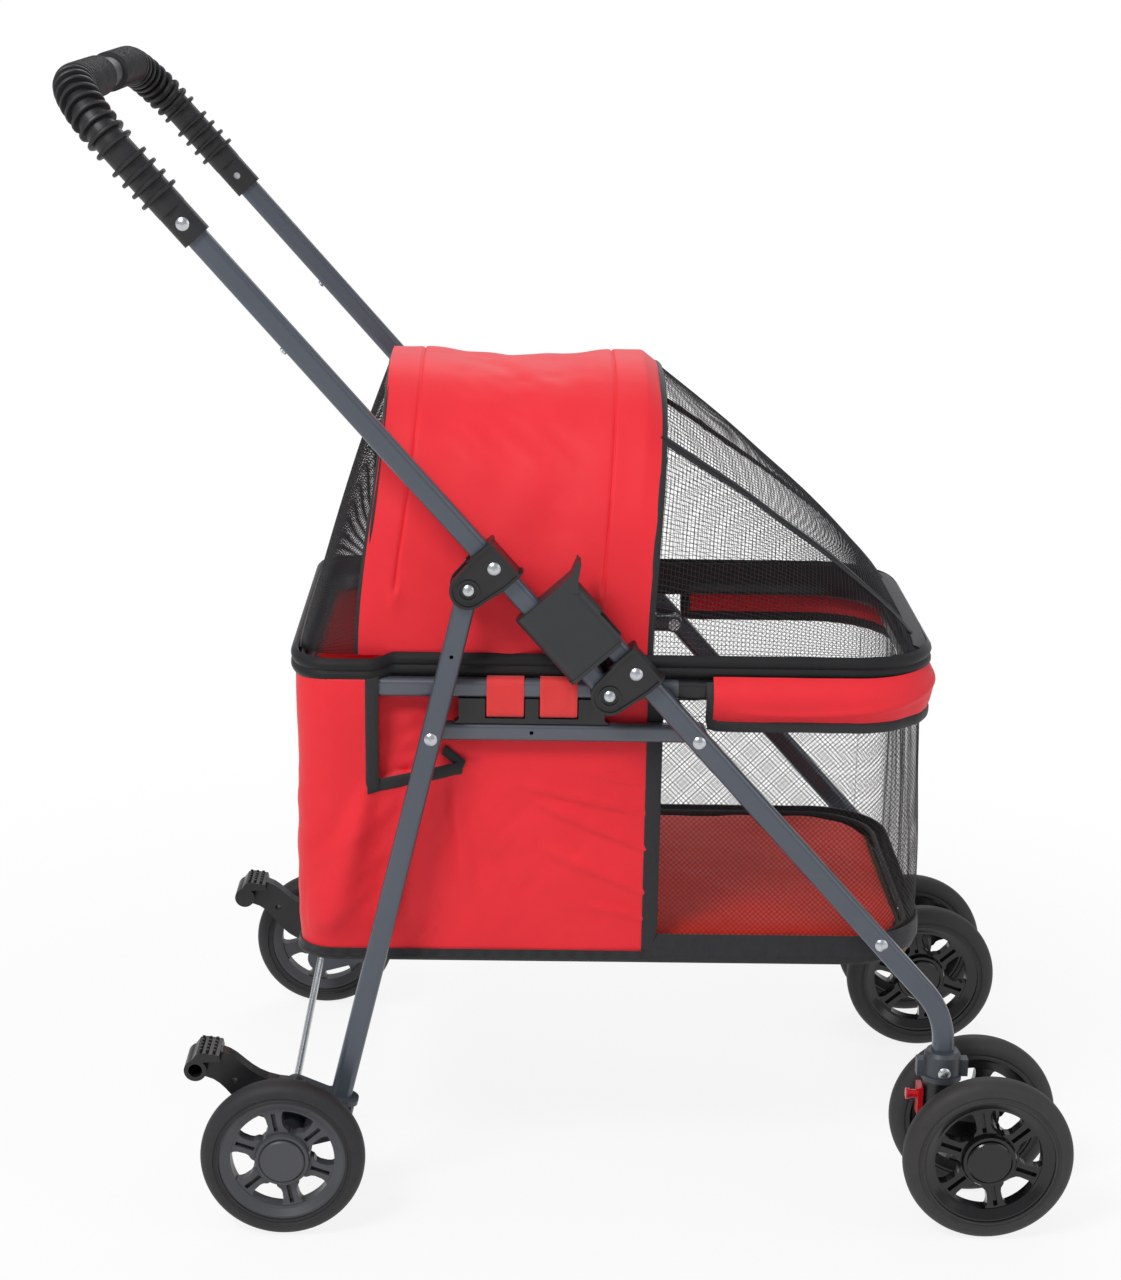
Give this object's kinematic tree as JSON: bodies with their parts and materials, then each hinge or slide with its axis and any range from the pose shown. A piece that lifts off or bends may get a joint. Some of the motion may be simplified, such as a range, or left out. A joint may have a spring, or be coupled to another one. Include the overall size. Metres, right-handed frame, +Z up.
{
  "type": "pet stroller",
  "caption": "Folding pet stroller with a soft red carrier, mesh windows, push handle, foot brake and swivel front casters.",
  "frame": {"origin": "on the floor, under the centre of the bounding box", "axes": "+X forward, +Y to the left of the stroller, +Z up"},
  "size_m": [0.7968, 0.484, 0.9021],
  "materials": {
    "tube": "blue-grey powder coat, satin",
    "rail": "grey powder coat, satin",
    "bracket": "black moulded, satin",
    "sleeve": "charcoal moulded, fine texture",
    "collar": "dark grey moulded, satin",
    "zinc": "zinc plated, bright",
    "grip": "black ribbed rubber",
    "pedal": "black moulded",
    "rear_tyre": "dark foam tyre, matt",
    "front_tyre": "dark foam tyre, matt",
    "rear_rim": "dark grey moulded, satin",
    "front_rim": "black moulded, glossy",
    "fork": "black moulded",
    "lock_red": "red moulded, glossy",
    "red_fabric": "plain-weave polyester, soft sheen",
    "strap": "red woven strap",
    "mesh": "black open net",
    "black_fabric": "black woven polyester and binding",
    "pad": "padded red polyester",
    "board": "pressed fibre board"
  },
  "bodies": {
    "front_frame": {"front_leg_left": "tube", "front_leg_right": "tube", "lower_bracket_left": "bracket", "lower_bracket_right": "bracket", "caster_collar_left": "collar", "caster_collar_right": "collar", "front_frame_rivets": "zinc"},
    "handle": {"push_tube_left": "tube", "push_tube_right": "tube", "handle_bar": "tube", "handle_grip": "grip", "handle_rivets": "zinc", "upper_bracket_left": "bracket", "upper_bracket_right": "bracket"},
    "rear_frame": {"rear_leg_left": "tube", "rear_leg_right": "tube", "wheel_housing_left": "collar", "wheel_housing_right": "collar", "rear_axles": "zinc", "rear_leg_rivets": "zinc"},
    "brake": {"brake_rod": "zinc", "brake_pedal_left": "pedal", "brake_pedal_right": "pedal"},
    "carrier": {"lower_rail_left": "rail", "lower_rail_right": "rail", "rail_saddles": "bracket", "rear_rim_loop": "rail", "front_rim_loop": "bracket", "rim_knuckles": "bracket", "strap_loops": "strap", "base_panel": "black_fabric", "floor_board": "board", "floor_pad": "pad", "basket_fabric": "red_fabric", "basket_mesh": "mesh", "rim_band": "red_fabric", "zip_band": "black_fabric", "canopy_roof": "red_fabric", "canopy_mesh": "mesh"},
    "door": {"canopy_door": "mesh"},
    "lock_sleeve_left": {"lock_sleeve_left": "sleeve"},
    "snap_button_left": {"snap_button_left": "zinc"},
    "rear_wheel_left": {"rear_tyre_left": "rear_tyre", "rear_wheel_left": "rear_rim"},
    "caster_left": {"caster_fork_left": "fork"},
    "caster_lock_left": {"caster_lock_left": "lock_red"},
    "front_wheel_left_outer": {"front_tyre_left_outer": "front_tyre", "front_wheel_left_outer": "front_rim"},
    "front_wheel_left_inner": {"front_tyre_left_inner": "front_tyre", "front_wheel_left_inner": "front_rim"},
    "lock_sleeve_right": {"lock_sleeve_right": "sleeve"},
    "snap_button_right": {"snap_button_right": "zinc"},
    "rear_wheel_right": {"rear_tyre_right": "rear_tyre", "rear_wheel_right": "rear_rim"},
    "caster_right": {"caster_fork_right": "fork"},
    "caster_lock_right": {"caster_lock_right": "lock_red"},
    "front_wheel_right_outer": {"front_tyre_right_outer": "front_tyre", "front_wheel_right_outer": "front_rim"},
    "front_wheel_right_inner": {"front_tyre_right_inner": "front_tyre", "front_wheel_right_inner": "front_rim"}
  },
  "joints": [
    {"name": "handle_fold", "type": "hinge", "parent": "front_frame", "child": "handle", "pos_m": [0.02241, 0, 0.4365], "axis": [0, -1, 0], "range_deg": [0, 130]},
    {"name": "rear_leg_fold", "type": "hinge", "parent": "handle", "child": "rear_frame", "pos_m": [-0.08657, 0, 0.51868], "axis": [0, -1, 0], "range_deg": [-89.25, 0]},
    {"name": "carrier_fold", "type": "hinge", "parent": "front_frame", "child": "carrier", "pos_m": [0.09266, 0, 0.39883], "axis": [0, -1, 0], "range_deg": [0, 89.04], "deforming": ["base_panel", "floor_board", "floor_pad", "basket_fabric"]},
    {"name": "canopy_door_lift", "type": "hinge", "parent": "carrier", "child": "door", "pos_m": [0.05841, 0, 0.6695], "axis": [0, -1, 0], "range_deg": [0, 110]},
    {"name": "brake_press", "type": "hinge", "parent": "rear_frame", "child": "brake", "pos_m": [-0.22259, 0, 0.101], "axis": [0, -1, 0], "range_deg": [0, 14]},
    {"name": "lock_sleeve_left_slide", "type": "slide", "parent": "handle", "child": "lock_sleeve_left", "axis": [-0.6691, 0, 0.7431], "range_m": [0, 0.024]},
    {"name": "snap_button_left_press", "type": "slide", "parent": "handle", "child": "snap_button_left", "axis": [0.7431, 0, 0.6691], "range_m": [0, 0.0025], "stiffness_N_per_m": 400},
    {"name": "rear_wheel_left_spin", "type": "hinge", "parent": "rear_frame", "child": "rear_wheel_left", "pos_m": [-0.22859, 0.2305, 0.065], "axis": [0, 1, 0], "continuous": true},
    {"name": "caster_left_swivel", "type": "hinge", "parent": "front_frame", "child": "caster_left", "pos_m": [0.29641, 0.186, 0.118], "axis": [0, 0, 1], "continuous": true},
    {"name": "caster_lock_left_slide", "type": "slide", "parent": "caster_left", "child": "caster_lock_left", "axis": [0, 0, 1], "range_m": [0, 0.006]},
    {"name": "front_wheel_left_outer_spin", "type": "hinge", "parent": "caster_left", "child": "front_wheel_left_outer", "pos_m": [0.33041, 0.2265, 0.068], "axis": [0, 1, 0], "continuous": true},
    {"name": "front_wheel_left_inner_spin", "type": "hinge", "parent": "caster_left", "child": "front_wheel_left_inner", "pos_m": [0.33041, 0.1455, 0.068], "axis": [0, 1, 0], "continuous": true},
    {"name": "lock_sleeve_right_slide", "type": "slide", "parent": "handle", "child": "lock_sleeve_right", "axis": [-0.6691, 0, 0.7431], "range_m": [0, 0.024]},
    {"name": "snap_button_right_press", "type": "slide", "parent": "handle", "child": "snap_button_right", "axis": [0.7431, 0, 0.6691], "range_m": [0, 0.0025], "stiffness_N_per_m": 400},
    {"name": "rear_wheel_right_spin", "type": "hinge", "parent": "rear_frame", "child": "rear_wheel_right", "pos_m": [-0.22859, -0.2305, 0.065], "axis": [0, 1, 0], "continuous": true},
    {"name": "caster_right_swivel", "type": "hinge", "parent": "front_frame", "child": "caster_right", "pos_m": [0.29641, -0.186, 0.118], "axis": [0, 0, 1], "continuous": true},
    {"name": "caster_lock_right_slide", "type": "slide", "parent": "caster_right", "child": "caster_lock_right", "axis": [0, 0, 1], "range_m": [0, 0.006]},
    {"name": "front_wheel_right_outer_spin", "type": "hinge", "parent": "caster_right", "child": "front_wheel_right_outer", "pos_m": [0.33041, -0.2265, 0.068], "axis": [0, 1, 0], "continuous": true},
    {"name": "front_wheel_right_inner_spin", "type": "hinge", "parent": "caster_right", "child": "front_wheel_right_inner", "pos_m": [0.33041, -0.1455, 0.068], "axis": [0, 1, 0], "continuous": true}
  ],
  "couplings": [
    {"joint": "rear_leg_fold", "follows": "handle_fold", "ratio": -0.68271},
    {"joint": "carrier_fold", "follows": "handle_fold", "ratio": 0.68105}
  ]
}
